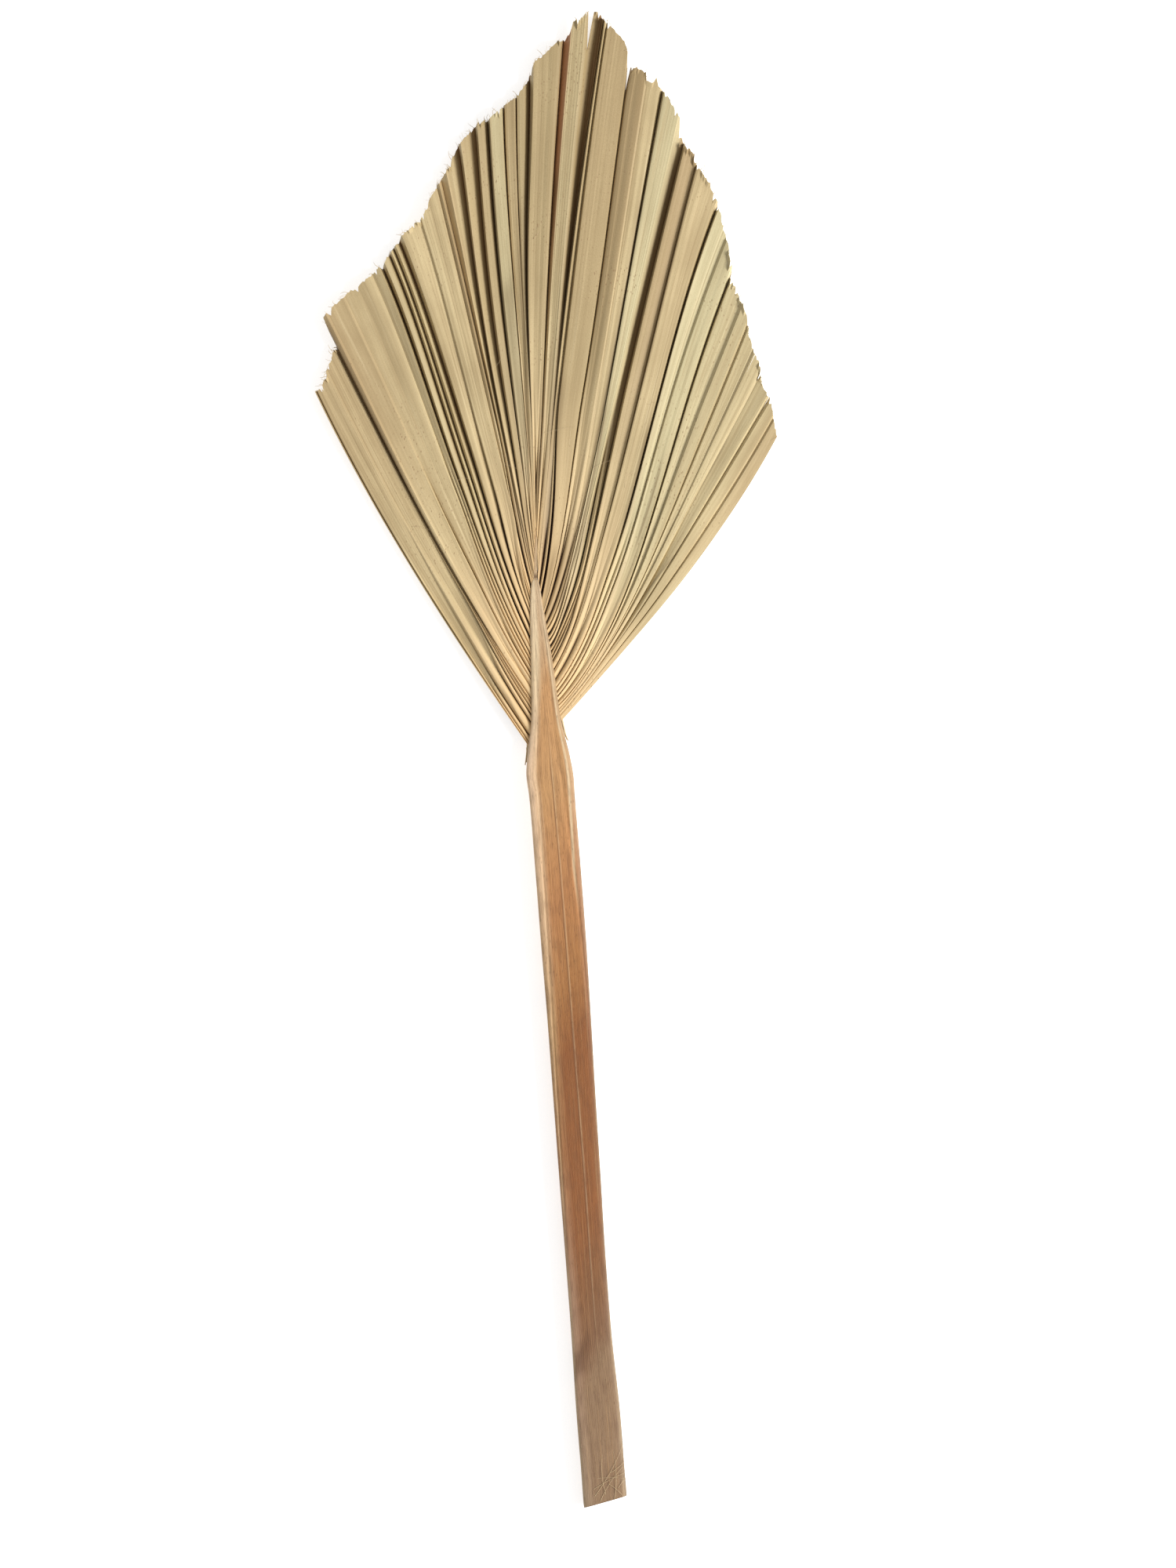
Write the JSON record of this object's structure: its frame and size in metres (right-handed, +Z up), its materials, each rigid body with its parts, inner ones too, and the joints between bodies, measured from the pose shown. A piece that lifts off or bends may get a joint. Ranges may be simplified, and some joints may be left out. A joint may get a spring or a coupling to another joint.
{
  "type": "fan palm leaf",
  "caption": "Dried fan palm leaf cut to a spear: a pleated, ragged-edged blade on a long flattened stalk, lying flat.",
  "frame": {"origin": "on the surface that the leaf lies on, under the middle of the leaf's box", "axes": "+X across the leaf, +Y from the cut end of the stalk towards the blade's point, +Z up out of the surface, out of the side that carries the stalk's rib"},
  "size_m": [0.34, 1.0997, 0.0165],
  "materials": {
    "stalk": "dried palm stalk, satin, fine lengthwise fibres",
    "blade": "dried palm blade, matt, fine veins along the pleats"
  },
  "bodies": {
    "root": {"stalk": "stalk", "blade": "blade"}
  },
  "joints": []
}
